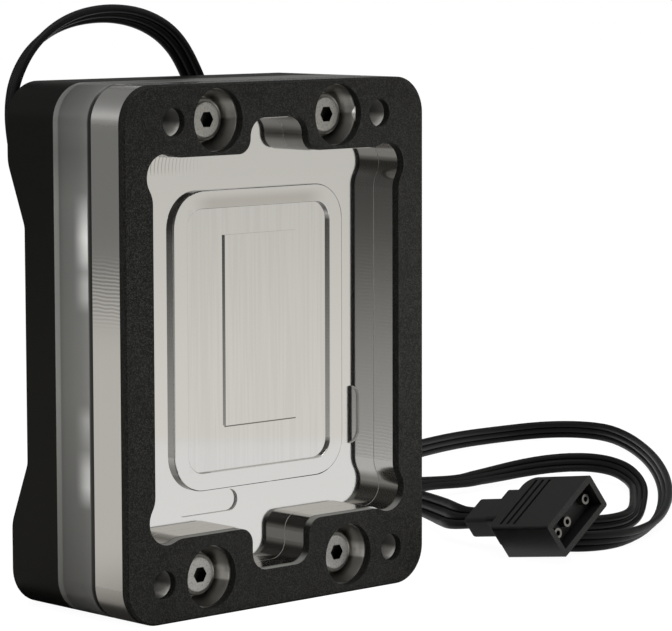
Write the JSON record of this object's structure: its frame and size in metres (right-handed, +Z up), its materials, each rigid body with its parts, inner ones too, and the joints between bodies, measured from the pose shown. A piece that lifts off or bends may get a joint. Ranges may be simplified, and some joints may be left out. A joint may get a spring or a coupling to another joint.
{
  "type": "cpu water block",
  "caption": "Direct-die liquid cooling block: milled nickel-plated cold plate in a black frame, clear body, black ported cover, and a light lead with a plug.",
  "frame": {"origin": "centre of the block's footprint on the surface that it stands on, cable and plug left out", "axes": "+X to the right seen from the CPU side, +Y from the CPU side to the port side, +Z up the long side"},
  "size_m": [0.1721, 0.0946, 0.0815],
  "materials": {
    "insulator_plate": "black, fine grain",
    "cold_plate": "milled copper, nickel plated",
    "base_seal": "moulded",
    "jet_plate": "rolled sheet",
    "flow_insert": "milled acetal",
    "light_body": "clear acrylic, milled edges",
    "inlet_seal": "moulded",
    "outlet_seal": "moulded",
    "rear_cover": "milled black acetal",
    "threaded_inserts": "turned",
    "clamp_screws": "plated",
    "led_board": "white solder resist",
    "led_chips": "clear resin",
    "led_lead": "extruded",
    "cable_grommet": "moulded",
    "cable": "extruded, satin",
    "plug_shell": "moulded, fine grain",
    "plug_carrier": "moulded",
    "plug_contacts": "rolled, plated",
    "plug_boot": "moulded"
  },
  "bodies": {
    "root": {"insulator_plate": "insulator_plate", "cold_plate": "cold_plate", "base_seal": "base_seal", "jet_plate": "jet_plate", "flow_insert": "flow_insert", "light_body": "light_body", "inlet_seal": "inlet_seal", "outlet_seal": "outlet_seal", "rear_cover": "rear_cover", "threaded_inserts": "threaded_inserts", "clamp_screws": "clamp_screws", "led_board": "led_board", "led_chips": "led_chips", "led_lead": "led_lead", "cable_grommet": "cable_grommet", "cable": "cable", "plug_shell": "plug_shell", "plug_carrier": "plug_carrier", "plug_contacts": "plug_contacts", "plug_boot": "plug_boot"}
  },
  "joints": []
}
